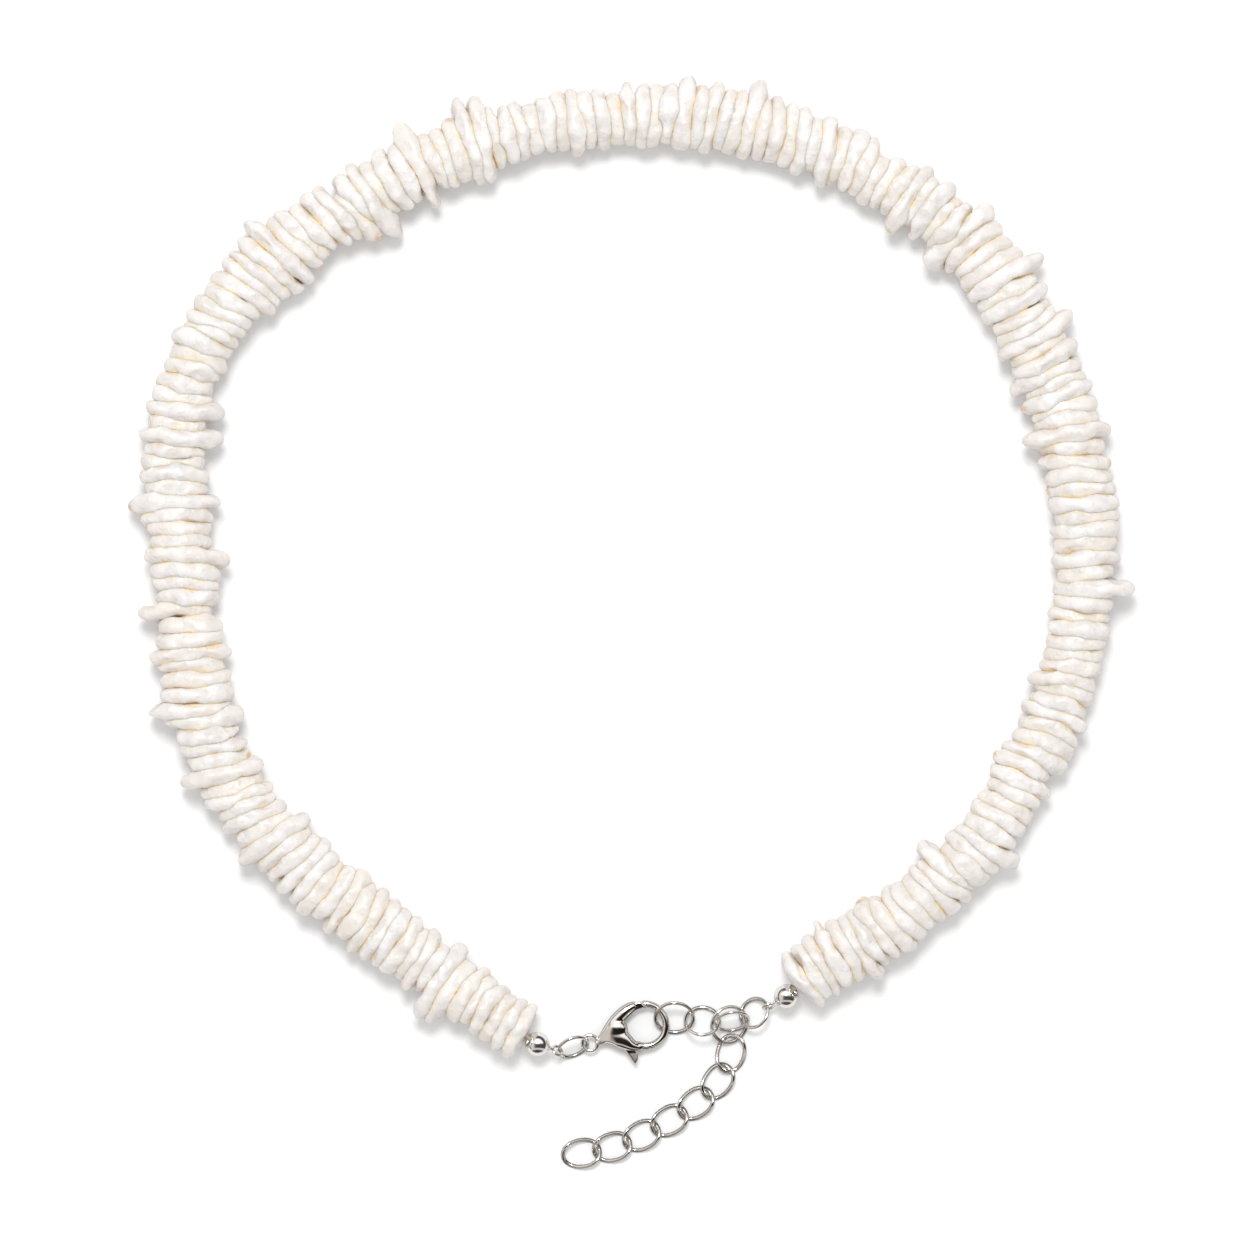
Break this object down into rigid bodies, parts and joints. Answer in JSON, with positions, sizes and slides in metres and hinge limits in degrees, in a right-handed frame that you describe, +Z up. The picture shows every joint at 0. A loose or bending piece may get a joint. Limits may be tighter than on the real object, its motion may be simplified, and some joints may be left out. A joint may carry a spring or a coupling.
{
  "type": "puka shell necklace",
  "caption": "Choker-length necklace of irregular ivory shell chips on a cord, with round bead tips, a lobster claw clasp and a short extender chain, laid flat as a closed loop.",
  "frame": {"origin": "on the surface that the necklace lies on, under the middle of its bounding box", "axes": "+Z up from the surface; +Y from the clasp across the loop to the far side; +X to the right, seen from above"},
  "size_m": [0.1413, 0.1539, 0.0093],
  "materials": {
    "shell": "polished natural shell, semi-gloss",
    "cord": "waxed beading thread",
    "silver": "polished silver-coloured plating"
  },
  "bodies": {
    "necklace": {"shell_chips": "shell", "thread": "cord", "bead_tip_left": "silver", "bead_tip_right": "silver", "jump_ring_left": "silver", "chain_ring_1": "silver", "chain_ring_2": "silver", "chain_ring_3": "silver", "jump_ring_right": "silver", "clasp_body": "silver", "clasp_rivet": "silver", "tail_link_1": "silver", "tail_link_2": "silver", "tail_link_3": "silver", "tail_link_4": "silver", "tail_link_5": "silver", "tail_link_6": "silver", "tail_link_7": "silver"},
    "lever": {"clasp_lever": "silver"}
  },
  "joints": [
    {"name": "lever_hinge", "type": "hinge", "parent": "necklace", "child": "lever", "pos_m": [-0.00205, -0.05718, 0.0015], "axis": [0, 0, 1], "range_deg": [-14, 0], "stiffness_Nm_per_rad": 0.01, "springref_deg": 20.05}
  ]
}
